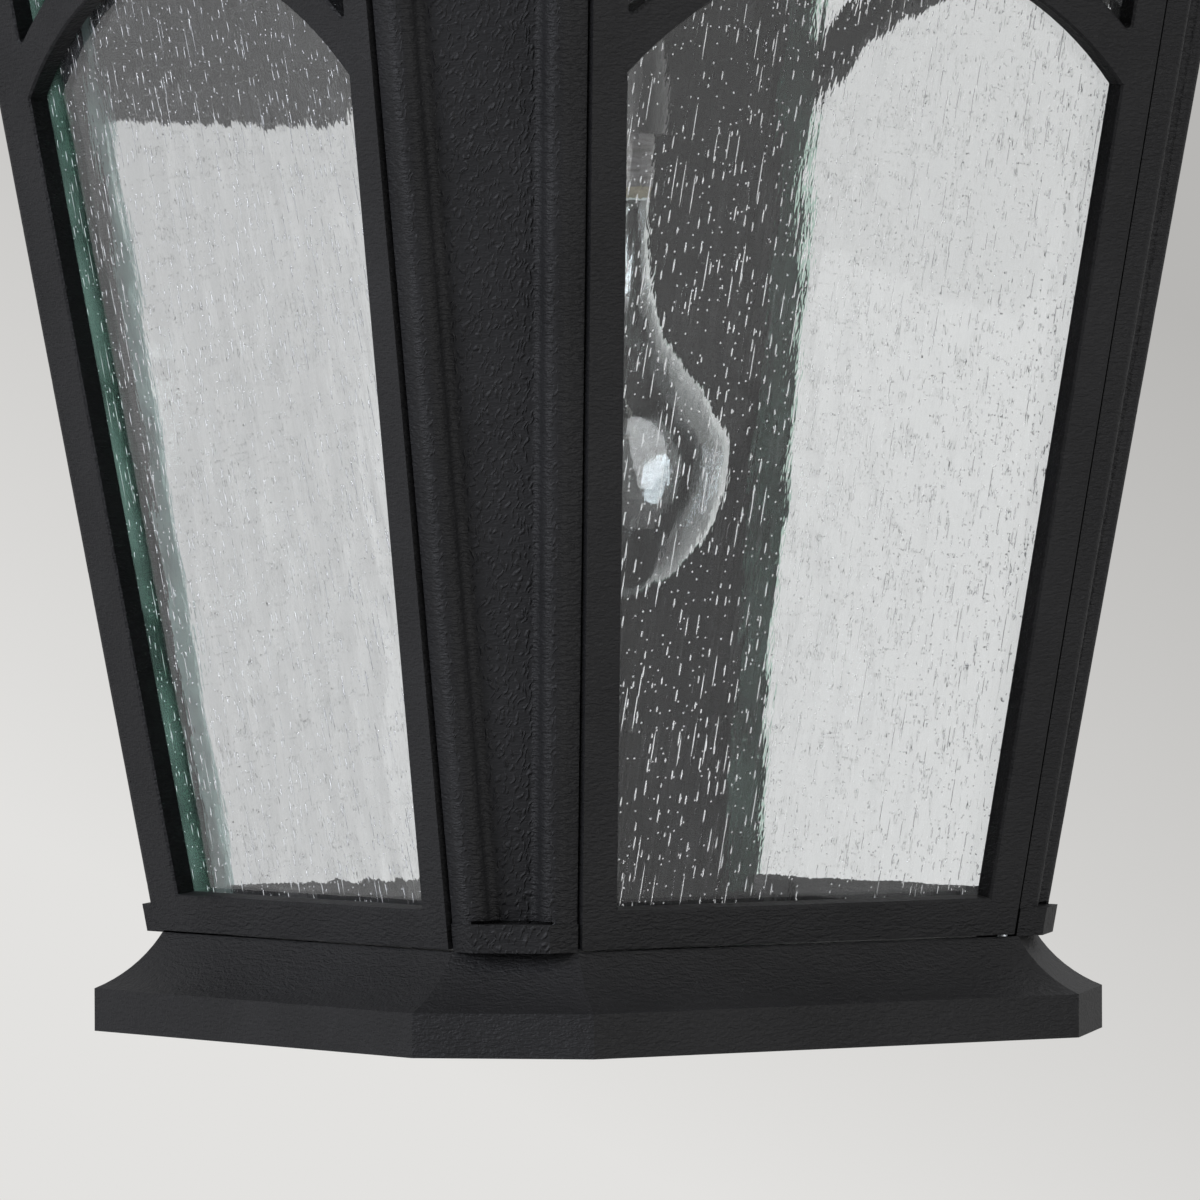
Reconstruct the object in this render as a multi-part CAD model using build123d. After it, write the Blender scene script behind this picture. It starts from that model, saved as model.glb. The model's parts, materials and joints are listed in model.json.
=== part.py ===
from build123d import *
import os
from math import atan, cos, radians, sin, sqrt

# Outdoor wall lantern: a tapered cast lantern with cut-off corners that hangs from a crook arm.
# Sizes are millimetres. While the pieces are modelled, z = 0 is the underside of the base, the
# lantern's axis is x = 0, y = 0, the front looks along -Y and the wall is the plane y = axis_out.
# Faces and corners follow each other by quarter turns, anticlockwise as seen from above.
faces = ("door", "right", "back", "left")
corners = ("front_left", "front_right", "back_right", "back_left")

# Glazed faces: four equal tapered frames that lean outwards
foot_gap = 0.5              # base's deck to the frames
face_h = 246.7              # height of a frame
head_gap = 0.4              # frames to the head frame
door_head_gap = 1.2         # the door's, because its hinge corner rises as it opens
face_foot_out = 82.65       # axis to the face's front plane at its foot
face_head_out = 121.5       # and at its head
corner_foot = 21.65         # what the column takes from each end of a face, at the foot
corner_head = 38.6          # and at the head
stile = 9.7
sill_rail = 8.7
head_rail = 16.5
arch_r = 95.5
arch_low = 6.65             # top of the window below the spandrels' top
arch_bar = 9.6
spandrel_r = 1.0            # rounding of the spandrels' corners
frame_t = 5.0               # front of the frame to the glass
frame_edge = 0.5            # broken front edges

pane_t = 3.0
pane_lap = 4.5
pane_play = 0.3
pane_sink = 0.1             # pane below the frame's back

# Base: plinth, cove and deck
plinth_out = 14.35          # plinth beyond the foot of the faces
plinth_corner_out = 10.0    # and beyond the columns' foot blocks
plinth_h = 10.0
cove_h = 13.0
cove_sag = 1.6              # hollow of the cove below its chord
deck_set = 0.65             # edge of the deck behind the faces
base_wall = 3.0
deck_t = 3.0
drain_r = 2.0
drain_at = 45.0

# Corner columns
seam = 0.5                  # gap between a frame's edge and a column
strip_set = 1.4             # column's outer strip behind the frames' front plane
strip_foot_w = 7.0          # width of the strip and its bead at the foot
strip_head_w = 8.8          # and at the head
bead_r = 3.7
bead_turn = 111.0           # degrees that the bead turns through
hollow_w = 2.8              # hollow from the bead to the sunk panel
hollow_d = 2.4
flange_w = 4.0              # flange that the frames sit against
flange_t = 2.4
door_gap = 0.6              # room behind the door for its hinge edge
inner_step = 2.0
block_set = 1.0             # foot and head blocks behind the frames' front plane
block_w = 7.6
block_h = 6.4
block_slot = 0.7            # dark joint between a block and the panel above or below it
block_slot_d = 1.2          # its depth below the panel

# Head frame and roof
ring_over = 0.7             # head frame beyond the frames' front planes
ring_corner_over = 2.4      # and beyond the columns' head blocks
lip_h = 7.9                 # lip that the latch hooks behind
lip_play = 0.2              # room between the lip and the latch's cam
lip_corner_w = 14.0
shelf_w = 9.0
shelf_corner_w = 10.0
shelf_t = 6.0
cornice_foot_h = 2.2        # plain band below the cornice's cove
cornice_out = 8.8
cornice_sag = 1.8
cornice_band = 3.0
eave_over = 8.0             # eave beyond the cornice
eave_band = 4.5
eave_step = 4.0
eave_rise = 2.0
roof_h = 83.5
roof_sag = 14.0
roof_neck = 34.0
roof_neck_h = 4.0
roof_wall = 3.0
roof_seat = 2.0             # width of the roof's seat on the cornice
roof_foot_t = 2.5           # height of the roof's foot inside
roof_crown_t = 8.0          # thickness of the roof's flat top

cap_h = 30.0
cap_r = 46.0
cap_under = 6.0             # bevel below the cap's rim
cap_under_h = 1.5
cap_rim_h = 4.0
cap_step = 2.0
cap_sag = 5.0
cap_neck = 17.0

spindle_h = 48.0
spindle_foot_r = 14.0
spindle_ring_r = 16.5
spindle_ring_h = 6.0
spindle_taper_h = 2.0
spindle_waist_r = 9.5
spindle_neck_r = 11.0
spindle_neck_h = 6.0
knop_r = 15.0
knop_h = 10.0
spindle_collar_r = 13.0
spindle_collar_h = 4.0
spindle_collar_edge = 1.0

# Arm, stem and wall fixing
axis_out = 178.0            # wall to the lantern's axis
arm_up = 84.4               # arm above the middle of the wall plate
arm_r = 9.5
arm_foot_up = 6.0           # arm's foot at the wall above the top of the spindle
arm_rise_r = 24.0
arm_reach = 10.0
rose_r = 20.0
rose_t = 6.0
rose_rim_t = 2.5
rose_sag = 1.0
rose_collar = 2.0
stem_r = 5.0
stem_bore_r = 3.4
stem_play = 0.2             # round the stem where it passes through a piece
stem_in_arm = 12.0
stem_over_socket = 1.0
nut_t = 5.0
nut_across = 18.0
lock_nut_t = 4.0
lock_nut_across = 16.0
washer_r = 9.5
washer_t = 1.2
nipple_in = 2.3             # nipple beyond its nut
nipple_in_arm = 14.0

plate_h = 298.0
plate_w = 114.0
plate_cut = 14.0
plate_rim_t = 7.0
plate_slope_t = 7.5
plate_field_t = 3.5
plate_edge_in = 1.5
plate_slope_in = 9.0
plate_field_in = 4.0
plate_wall = 3.0
gasket_w = 3.0
gasket_t = 2.8
strap_w = 24.0
strap_l = 132.0
strap_t = 2.0
strap_corner_r = 5.0
slot_spacing = 60.0
slot_w = 5.0
slot_l = 14.0
stud_spacing = 100.0
stud_r = 2.5
stud_back = 0.2             # studs' ends in front of the wall
stud_over = 6.0             # studs beyond the wall plate
cap_nut_r = 4.5             # across the flats, halved
cap_nut_t = 4.0
cap_nut_edge = 0.8          # dome inside the flats
cap_nut_crown = 3.0         # dome above the stud's end

earth_side = 7.0
earth_low = 20.0
earth_head_r = 3.8
earth_head_t = 2.4
earth_r = 2.0
block_long = 30.0
block_wide = 16.0
block_round = 1.2
block_clear = 1.0           # terminal block to the plate's floor
block_ways = 3
wire_r = 2.0
block_screw_r = 1.6
block_screw_side = 4.0
block_screw_sink = 0.6

# Cross bar and lampholder
bar_t = 2.5
bar_w = 20.0
bar_corner_r = 4.0
bar_play = 0.8              # end of the cross bar to the lip
bar_hole_in = 4.3
bar_screw_r = 1.5
bar_screw_head_r = 3.0
bar_screw_l = 4.0           # in the shelf
socket_drop = 22.5          # shelf to the top of the lampholder
socket_l = 46.0
socket_wall = 2.7
socket_neck_l = 14.0        # length of the narrower top
socket_step = 1.5
socket_step_h = 2.0
socket_brim_h = 6.0         # rounded shoulder at the top
socket_brim = 4.5
socket_floor_t = 2.8
socket_cap_in = 6.0         # cap inside the lampholder's side
socket_cap_h = 3.0
socket_hex = 14.0
socket_hex_up = 2.0
socket_hex_h = 4.0
shell_play = 0.65           # screw shell round the lamp's cap
shell_t = 0.5
shell_in = 1.5
shell_hole_r = 6.0
contact_up = 14.9           # contact above the lampholder's mouth
contact_t = 1.2
contact_r = 2.2
tongue_w = 5.0
tongue_l = 9.0
tongue_t = 0.4

# Lamp
lamp_l = 95.5               # length of its glass
lamp_r = 30.7
lamp_wide_up = 34.4
lamp_neck_up = 73.9
lamp_neck_r = 12.9
lamp_wall = 0.8
collar_h = 2.6
collar_w = 1.6
cap_shell_r = 13.15
cap_shell_h = 21.0
cap_edge = 1.0
cap_crown = 2.5
lamp_tip = 6.0              # contact's tip above the screw cap's shell
button_gap = 0.2            # lamp's contact to the lampholder's
insulator_r = 8.5
insulator_bore_r = 4.2
insulator_sink = 1.7
insulator_rim = 0.1
button_r = 4.1
button_h = 0.8
mount_l = 34.0              # glass foot that carries the filament
mount_bead_r = 3.0
mount_bead_h = 4.0
mount_neck_r = 2.4
mount_press_l = 20.0
mount_r = 4.2
mount_flare_r = 6.0
mount_flare_h = 5.0
lead_r = 0.35
lead_side = 1.6
lead_in = 4.0
lead_l = 26.0
coil_r = 0.7
coil_l = 24.0

# Fasteners, hinge and latch
screw_head_t = 2.0
screw_head_play = 0.4
screw_slot_w = 0.9
screw_hole_play = 0.25
thread_play = 0.05
tap_past = 0.5              # threaded holes beyond the screws' ends
block_skin = 0.4            # metal over the threaded hole in a column's block
foot_screw_r = 1.5
foot_screw_in = 3.7         # from the corner of the deck
foot_screw_head_r = 2.8
head_screw_r = 2.0
head_screw_in = 9.0
head_screw_head_r = 3.6
head_sink = 3.0             # head screws' heads below the top of the head frame
frame_screw_r = 1.2
frame_screw_head_r = 1.9
frame_screw_head_t = 1.3
frame_screw_in = 2.0
frame_screw_l = 4.5
frame_screw_rows = (45.0, 205.0)
clip_w = 9.0
clip_t = 0.8
clip_lap = 3.2
clip_tail = 0.4
clip_round = 1.0
clip_screw_r = 1.0
clip_screw_head_r = 1.8
clip_screw_head_t = 1.2
clip_screw_l = 3.5
clip_up = 3.0
clip_low = 2.1
clip_head_x = 38.0
clip_foot_x = 34.0
hinge_in = 2.4
hinge_edge_r = 1.8
pin_r = 1.2
pin_play = 0.05
pin_fit = 0.01              # pins in the door
pin_in_door = 7.0
pin_in_base = 4.0
pin_in_ring = 6.0
latch_low = 8.4             # latch below the top of the door, up the slope
knob_r = 7.0
knob_t = 6.5
knob_neck_in = 2.4
knob_neck_t = 1.2
knob_gap = 0.2
knob_edge = 0.8
knob_flutes = 16
flute_r = 1.1
spindle_r = 2.5
spindle_past = 2.6
cam_l = 14.0
cam_w = 8.0
cam_t = 2.0
cam_gap = 0.8
cam_round = 2.0
latch_nut_across = 8.0
latch_nut_t = 2.4

past = 1.0                  # how far a cut runs past what it cuts
hex_sides = 6
touching = 1e-6             # points nearer than this are one point
diagonal = sqrt(2)

# Derived: heights
deck_z = plinth_h + cove_h
face_foot_z = deck_z + foot_gap
face_head_z = face_foot_z + face_h
ring_foot_z = face_head_z + head_gap
shelf_z = ring_foot_z + lip_h
ring_top_z = shelf_z + shelf_t
roof_top_z = ring_top_z + roof_h
cap_top_z = roof_top_z + cap_h
spindle_top_z = cap_top_z + spindle_h
arm_foot_z = spindle_top_z + arm_foot_up
origin_z = arm_foot_z - arm_up
socket_top_z = shelf_z - socket_drop
socket_lip_z = socket_top_z - socket_l
contact_z = socket_lip_z + contact_up
stem_foot_z = socket_top_z + stem_over_socket
lamp_button_z = contact_z - button_gap
lamp_cap_top_z = lamp_button_z - lamp_tip
lamp_glass_top_z = lamp_cap_top_z - cap_shell_h - collar_h
lamp_foot_z = lamp_glass_top_z - lamp_l

# Derived: the leaning faces
face_foot_half = face_foot_out - corner_foot
face_head_half = face_head_out - corner_head
lean = (face_head_out - face_foot_out) / face_h
splay = (face_head_half - face_foot_half) / face_h
tilt = atan(lean)
splay_up = splay * cos(tilt)
splay_angle = atan(splay_up)
frame_depth = frame_t + pane_t + pane_sink
slope_h = face_h / cos(tilt)
seat_in = frame_depth / cos(tilt)
pane_foot = sill_rail - pane_lap
spandrel_top = slope_h - head_rail
pane_head = spandrel_top + pane_lap
arch_mid = spandrel_top - arch_low - arch_r
cam_back = -frame_depth - cam_gap - cam_t
block_screw_l = block_h - block_skin - tap_past
face_plane = Plane(origin=(0, -face_foot_out, face_foot_z), x_dir=(1, 0, 0),
                   z_dir=(0, -cos(tilt), -sin(tilt)))
latch_place = Pos(0, slope_h - latch_low, 0)


def out_at(z):
    """Axis to the faces' front plane at a height."""
    return face_foot_out + lean * (z - face_foot_z)


def half_at(z):
    """Half the width of a frame at a height."""
    return face_foot_half + splay * (z - face_foot_z)


def block_corner(z):
    """Axis to the face of a column's foot or head block, on the diagonal."""
    return (out_at(z) - block_set + half_at(z) + seam + block_w) / diagonal


# Derived: widths
plinth_half = face_foot_out + plinth_out
plinth_corner = block_corner(deck_z) + plinth_corner_out
cove_in = plinth_out + deck_set
foot_screw_at = plinth_corner - cove_in - foot_screw_in
ring_out = face_head_out + ring_over
ring_corner = block_corner(ring_foot_z) + ring_corner_over
lip_in = out_at(shelf_z) - (frame_depth + cam_gap) / cos(tilt) + lip_play
lip_corner = ring_corner - lip_corner_w
shelf_in = lip_in - shelf_w
shelf_corner = lip_corner - shelf_corner_w
head_screw_at = ring_corner - head_screw_in
cornice_half = ring_out + cornice_out
eave_out = cornice_half + eave_over
corner_ratio = ring_corner / ring_out
bar_half = lip_in - bar_play
bar_hole = bar_half - bar_hole_in
arm_bore_r = stem_r + stem_play
socket_bore_r = cap_shell_r + shell_play
socket_r = socket_bore_r + socket_wall
shell_r = socket_bore_r - thread_play
stem_hole_r = stem_r + stem_play

# Derived: wall plate
plate_t = plate_rim_t + plate_slope_t + plate_field_t
plate_floor = plate_rim_t + plate_slope_t - plate_wall + past
stud_end = plate_t + stud_over
block_t = plate_floor - strap_t - block_clear
wall_plane = Plane(origin=(0, axis_out, origin_z), x_dir=(1, 0, 0), z_dir=(0, -1, 0))
arm_place = Pos(0, arm_up, 0)


def outline(start, *steps):
    """Closed face from points; a pair of points is an arc through the first to the second."""
    edges = []
    here = start
    for step in steps:
        if isinstance(step[0], tuple):
            edges.append(ThreePointArc(here, step[0], step[1]))
            here = step[1]
        else:
            edges.append(Line(here, step))
            here = step
    if (Vector(*here) - Vector(*start)).length > touching:
        edges.append(Line(here, start))
    return make_face(edges)


def each_point(step, change):
    """The same step with its point, or both points of an arc, changed."""
    if isinstance(step[0], tuple):
        return tuple(change(point) for point in step)
    return change(step)


def on_face(part, index=0):
    """Put something drawn on the front face's own plane onto the face with that index."""
    return Rot(0, 0, 90 * index) * (face_plane.location * part)


def on_wall(part):
    return wall_plane.location * part


def corner_place(index, reach):
    """Place on the diagonal of a corner; index 0 is the front left corner."""
    return Rot(0, 0, 90 * index) * Pos(-reach / diagonal, -reach / diagonal, 0)


def prism(face, low, high):
    return extrude(Pos(0, 0, low) * face, high - low)


def rod(r, low, high):
    return Pos(0, 0, low) * Cylinder(r, high - low, align=(Align.CENTER, Align.CENTER, Align.MIN))


def tube(r, bore, low, high):
    return rod(r, low, high) - rod(bore, low - past, high + past)


def slab(x, y, low, high):
    return Pos(0, 0, low) * Box(x, y, high - low, align=(Align.CENTER, Align.CENTER, Align.MIN))


def dome(r, low, top):
    """Outline step of a spherical dome from (r, low) to the axis at top."""
    ball = (r * r + (top - low) ** 2) / (2 * (top - low))
    half = r / 2
    return ((half, top - ball + sqrt(ball * ball - half * half)), (0, top))


def turned(*profile):
    """Solid of revolution about the lantern's axis from an (r, z) outline."""
    return revolve(Plane.XZ * outline(*profile), Axis.Z)


def end_of(step):
    return step[1] if isinstance(step[0], tuple) else step


def returning(steps, change):
    """An open outline's steps from its end back to its start, with their points changed."""
    back = [change(end_of(steps[-1]))]
    for k in range(len(steps) - 1, 0, -1):
        end = change(end_of(steps[k - 1]))
        back.append((change(steps[k][0]), end) if isinstance(steps[k][0], tuple) else end)
    return back


def octagon(side, corner):
    """Square body with cut-off corners: one moulding profile for the sides, one for the corners."""
    def flipped(point):
        return (-point[0], point[1])

    reach = 2 * max(end_of(step)[0] for step in corner)
    body = None
    for turn, profile in ((0, side), (90, side), (45, corner), (135, corner)):
        section = outline(*profile, *returning(profile, flipped))
        wall = Rot(0, 0, turn) * extrude(Plane.XZ * section, reach, both=True)
        body = wall if body is None else body & wall
    return body


def plain_octagon(side, corner, low, high):
    return octagon([(side, low), (side, high)], [(corner, low), (corner, high)])


def hollow_arc(a, b, sag):
    """Middle point of an arc from a to b that hollows towards the axis by sag."""
    (ax, az), (bx, bz) = a, b
    run = sqrt((bx - ax) ** 2 + (bz - az) ** 2)
    return ((ax + bx) / 2 - sag * abs(bz - az) / run, (az + bz) / 2 - sag * abs(bx - ax) / run)


def slotted_screw(r, head_r, length):
    """Screw along +Z with the underside of its head at z = 0."""
    head = rod(head_r, -screw_head_t, 0)
    head -= Pos(0, 0, -screw_head_t) * Box(screw_slot_w, 3 * head_r, screw_head_t)
    return head + rod(r, 0, length)


def hex_nut(r, across, low, high):
    nut = prism(RegularPolygon(across / 2, hex_sides, major_radius=False), low, high)
    return nut - rod(r, low - past, high + past)


# Base


def base():
    def outer(foot):
        low = (foot, plinth_h)
        high = (foot - cove_in, deck_z)
        return [(foot, 0), low, (hollow_arc(low, high, cove_sag), high)]

    def inner(foot):
        low = plinth_h - base_wall / 2
        return [(foot - base_wall, 0), (foot - base_wall, low), (foot - cove_in - base_wall, floor_z)]

    floor_z = deck_z - deck_t
    shell = octagon(outer(plinth_half), outer(plinth_corner))
    shell -= octagon(inner(plinth_half), inner(plinth_corner))
    for index in range(4):
        shell -= Rot(0, 0, 90 * index) * Pos(drain_at, drain_at, 0) * rod(drain_r, 0, deck_z + past)
        spot = corner_place(index, foot_screw_at)
        shell -= spot * rod(foot_screw_r + screw_hole_play, 0, deck_z + past)
        shell -= spot * rod(foot_screw_head_r + screw_head_play, 0, floor_z)
    return shell - hinge_pin_low(pin_play)


# Corner columns


def gap_behind(face):
    return door_gap if faces[face] == "door" else 0


def column_half_section(z, gap):
    """Steps of half a column's outline in plan, as (out, along) of one of its two frames."""
    out = out_at(z)
    half = half_at(z)
    edge = half + seam
    strip = out - strip_set
    share = (z - deck_z) / (ring_foot_z - deck_z)
    bead_edge = edge + strip_foot_w + share * (strip_head_w - strip_foot_w)
    seat = out - seat_in - gap
    back = seat - flange_t

    def on_bead(turn):
        x, y = bead_r * cos(radians(turn)), bead_r * sin(radians(turn))
        return (strip - bead_r + x, bead_edge - bead_r + y)

    def on_hollow(run, drop):
        start = on_bead(bead_turn)
        return (start[0] - (run + drop) / diagonal, start[1] + (run - drop) / diagonal)

    hollow_r = (hollow_w ** 2 + hollow_d ** 2) / (2 * hollow_d)
    sweep_half = atan(hollow_d / hollow_w)
    mid_run = hollow_w - hollow_r * sin(sweep_half)
    hollow_mid = on_hollow(mid_run, hollow_d - hollow_r * (1 - cos(sweep_half)))
    return [(back, edge + inner_step), (back, half - flange_w), (seat, half - flange_w), (seat, edge),
            (strip, edge), on_bead(0), (on_bead(bead_turn / 2), on_bead(bead_turn)),
            (hollow_mid, on_hollow(hollow_w, hollow_d))]


def column_section(z, index):
    """Moulded column in plan at a height, drawn at the front left corner."""
    def left(point):
        return (-point[0], -point[1])

    def front(point):
        return (-point[1], -point[0])

    side = [each_point(step, left) for step in column_half_section(z, gap_behind(index - 1))]
    return Pos(0, 0, z) * outline(*side, *returning(column_half_section(z, gap_behind(index)), front))


def block_section(z):
    """Plain block in plan at a height, at a column's foot or head."""
    strip = out_at(z) - block_set
    edge = half_at(z) + seam
    back = out_at(z) - seat_in - flange_t
    half = [(back, edge), (strip, edge), (strip, edge + block_w)]
    steps = [(-a, -b) for a, b in half] + [(-b, -a) for a, b in reversed(half)]
    return Pos(0, 0, z) * outline(*steps)


def column(index):
    low = deck_z
    high = ring_foot_z
    post = loft([column_section(low, index), column_section(high, index)], ruled=True)
    for z0, z1 in ((low, low + block_h), (high - block_h, high)):
        post += loft([block_section(z0), block_section(z1)], ruled=True)
    for z in (low + block_h, high - block_h - block_slot):
        panel_at = sum(end_of(column_half_section(z, 0)[-1])) / diagonal
        width = diagonal * (out_at(z) - strip_set - half_at(z) - seam - strip_foot_w)
        slot = Box(width, block_slot_d + 2 * bead_r + 2 * hollow_d, block_slot,
                   align=(Align.CENTER, Align.MAX, Align.MIN))
        post -= Rot(0, 0, -45) * Pos(0, block_slot_d - panel_at, z) * slot
    post -= corner_place(0, foot_screw_at) * rod(foot_screw_r, low - past, low + block_h - block_skin)
    post -= corner_place(0, head_screw_at) * rod(head_screw_r, high - block_h + block_skin, high + past)
    post = Rot(0, 0, 90 * index) * post
    for face in range(1, 4):
        for screw in frame_screw_places():
            hole = rod(frame_screw_r + thread_play, -frame_depth - 2 * flange_t, tap_past - frame_depth)
            post -= on_face(screw * hole, face)
    return post


def foot_screws():
    screw = slotted_screw(foot_screw_r, foot_screw_head_r, deck_t + block_screw_l)
    return [corner_place(index, foot_screw_at) * Pos(0, 0, deck_z - deck_t) * screw for index in range(4)]


def head_screws():
    screw = slotted_screw(head_screw_r, head_screw_head_r, lip_h + shelf_t - head_sink + block_screw_l)
    seat = Pos(0, 0, ring_top_z - head_sink) * Rot(180, 0, 0)
    return [corner_place(index, head_screw_at) * seat * screw for index in range(4)]


# Glazed frames, panes and clips


def frame_half(up):
    """Half a frame's width at a distance up its slope."""
    return face_foot_half + splay_up * up


def arch_meets(r):
    """Where an arc about the arch's centre meets the right-hand jamb."""
    jamb = face_foot_half - stile
    a = 1 + splay_up ** 2
    b = 2 * (jamb * splay_up - arch_mid)
    c = jamb ** 2 + arch_mid ** 2 - r ** 2
    up = (-b + sqrt(b * b - 4 * a * c)) / (2 * a)
    return (jamb + splay_up * up, up)


def window():
    foot = frame_half(sill_rail) - stile
    spring, spring_up = arch_meets(arch_r)
    return outline((-foot, sill_rail), (foot, sill_rail), (spring, spring_up),
                   ((0, arch_mid + arch_r), (-spring, spring_up)))


def spandrel():
    """Pierced spandrel right of the arch, between the arch bar, the stile and the head rail."""
    r = arch_r + arch_bar
    tip = arch_meets(r)
    head = (frame_half(spandrel_top) - stile, spandrel_top)
    inner = (sqrt(r ** 2 - (spandrel_top - arch_mid) ** 2), spandrel_top)
    x = (tip[0] + inner[0]) / 2
    mid = (x, arch_mid + sqrt(r ** 2 - x ** 2))
    hole = outline(tip, head, inner, (mid, tip))
    return fillet(hole.vertices(), spandrel_r)


def pane_outline(grow=0.0):
    foot = pane_foot - grow
    head = pane_head + grow
    inset = stile - pane_lap - grow
    low = frame_half(foot) - inset
    high = frame_half(head) - inset
    return outline((-low, foot), (low, foot), (high, head), (-high, head))


def pane(index):
    return on_face(prism(pane_outline(), -frame_t - pane_t, -frame_t), index)


def frame_screw_places():
    return [Pos(side * (frame_half(up) - frame_screw_in), up, 0)
            for up in frame_screw_rows for side in (-1, 1)]


def clip_places():
    """Places of the pane clips: screw centre, and which way the clip reaches over the pane."""
    head = [(x, pane_head + pane_play + clip_up, -1) for x in (-clip_head_x, clip_head_x)]
    foot = [(x, clip_low, 1) for x in (-clip_foot_x, clip_foot_x)]
    return head + foot


def frame_blank():
    top = slope_h + head_rail
    foot = frame_half(0)
    head = frame_half(top)
    body = prism(outline((-foot, 0), (foot, 0), (head, top), (-head, top)), -frame_depth, 0)
    holes = window() + spandrel() + mirror(spandrel(), Plane.YZ)
    body -= prism(holes, -frame_depth - past, past)
    body -= prism(pane_outline(pane_play), -frame_depth - past, -frame_t)
    front = body.faces().sort_by(Axis.Z)[-1]
    body = chamfer([e for wire in front.inner_wires() for e in wire.edges()], frame_edge)
    for x, up, way in clip_places():
        hole = rod(clip_screw_r + thread_play, -frame_depth - past, clip_screw_l + tap_past - frame_depth)
        body -= Pos(x, up, 0) * hole
    return body


def trimmed(part, gap):
    """Cut a frame level under the head frame."""
    return part - slab(3 * face_head_out, 3 * face_head_out, ring_foot_z - gap, ring_foot_z + 2 * head_rail)


def fixed_frame(index):
    body = frame_blank()
    for screw in frame_screw_places():
        hole = rod(frame_screw_r + thread_play, -frame_depth - past, frame_screw_l + tap_past - frame_depth)
        body -= screw * hole
    return trimmed(on_face(body, index), head_gap)


def door_frame():
    body = frame_blank()
    edge = body.edges().filter_by(lambda e: e.length > slope_h).sort_by(
        lambda e: e.center().X + e.center().Z)[-1]
    body = fillet(edge, hinge_edge_r)
    body -= latch_place * rod(spindle_r + pin_play, -frame_depth - past, past)
    return trimmed(on_face(body), door_head_gap) - hinge_pin_low(pin_fit) - hinge_pin_high(pin_fit)


def hinge_place(up):
    """Place on the door's hinge axis, which runs along its right-hand edge."""
    x = face_foot_half - hinge_in / cos(splay_angle) + splay_up * up
    plane = Plane(origin=(x, up, -hinge_in), x_dir=(cos(splay_angle), -sin(splay_angle), 0),
                  z_dir=(sin(splay_angle), cos(splay_angle), 0))
    return plane.location


def hinge_pin_low(grow=0.0):
    return on_face(hinge_place(0) * rod(pin_r + grow, -pin_in_base, pin_in_door))


def hinge_pin_high(grow=0.0):
    return on_face(hinge_place(slope_h) * rod(pin_r + grow, -pin_in_door, pin_in_ring))


def hinge_pins():
    return [hinge_pin_low(), hinge_pin_high()]


def clip(x, up, way):
    tail = (clip_up if way < 0 else clip_low) - clip_tail
    reach = (clip_up + pane_play if way < 0 else pane_foot - clip_low) + clip_lap
    plate = Pos(x, up + way * (reach - tail) / 2, 0) * Rectangle(clip_w, reach + tail)
    plate = fillet(plate.vertices(), clip_round) - Pos(x, up, 0) * Circle(clip_screw_r + thread_play)
    return prism(plate, -frame_depth - clip_t, -frame_depth)


def clip_screw(x, up, way):
    seat = -frame_depth - clip_t
    head = rod(clip_screw_head_r, seat - clip_screw_head_t, seat)
    return Pos(x, up, 0) * (head + rod(clip_screw_r, seat, clip_screw_l - frame_depth))


def on_fixed(make):
    return [on_face(make(*place), face) for face in range(1, 4) for place in clip_places()]


def on_door(make):
    return [on_face(make(*place)) for place in clip_places()]


def frame_screws():
    seat = -frame_depth - flange_t * cos(tilt)
    screw = rod(frame_screw_head_r, seat - frame_screw_head_t, seat)
    screw += rod(frame_screw_r, seat, frame_screw_l - frame_depth)
    return [on_face(place * screw, face) for face in range(1, 4) for place in frame_screw_places()]


# Head frame, roof and what stands on it


def head_frame():
    def outer(out):
        low = (out, ring_foot_z + cornice_foot_h)
        high = (out + cornice_out, ring_top_z - cornice_band)
        return [(out, ring_foot_z), low, (hollow_arc(low, high, cornice_sag), high),
                (out + cornice_out, ring_top_z)]

    ring = octagon(outer(ring_out), outer(ring_corner))
    ring -= plain_octagon(lip_in, lip_corner, ring_foot_z - past, shelf_z)
    ring -= plain_octagon(shelf_in, shelf_corner, shelf_z - past, ring_top_z + past)
    for index in range(4):
        spot = corner_place(index, head_screw_at)
        ring -= spot * rod(head_screw_r + screw_hole_play, ring_foot_z - past, ring_top_z + past)
        ring -= spot * rod(head_screw_head_r + screw_head_play, ring_top_z - head_sink, ring_top_z + past)
    for side in (-1, 1):
        hole = rod(bar_screw_r + thread_play, shelf_z - past, shelf_z + bar_screw_l + tap_past)
        ring -= Pos(side * bar_hole, 0, 0) * hole
    return ring - hinge_pin_high(pin_play)


def roof():
    def outer(k):
        eave = (eave_out - eave_step, ring_top_z + eave_band + eave_rise)
        neck = (roof_neck, roof_top_z - roof_neck_h)
        return widened([(eave_out, ring_top_z), (eave_out, ring_top_z + eave_band), eave,
                        (hollow_arc(eave, neck, roof_sag), neck), (roof_neck, roof_top_z)], k)

    def inner(k):
        eave = (cornice_half - roof_seat, ring_top_z + roof_foot_t)
        neck = (roof_neck - roof_wall, roof_top_z - roof_crown_t)
        return widened([(cornice_half - roof_seat, ring_top_z - past), eave,
                        (hollow_arc(eave, neck, roof_sag), neck)], k)

    def widened(steps, k):
        return [each_point(step, lambda point: (point[0] * k, point[1])) for step in steps]

    body = octagon(outer(1), outer(corner_ratio)) - octagon(inner(1), inner(corner_ratio))
    return body - rod(stem_hole_r, roof_top_z - 2 * roof_crown_t, roof_top_z + past)


def roof_cap():
    z = roof_top_z
    low = (cap_r - cap_step, z + cap_rim_h + cap_step / 2)
    high = (cap_neck, cap_top_z - cap_step)
    cap = turned((0, z), (cap_r - cap_under, z), (cap_r, z + cap_under_h), (cap_r, z + cap_rim_h), low,
                 (hollow_arc(low, high, cap_sag), high), (cap_neck, cap_top_z), (0, cap_top_z))
    return cap - rod(stem_hole_r, z - past, cap_top_z + past)


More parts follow.
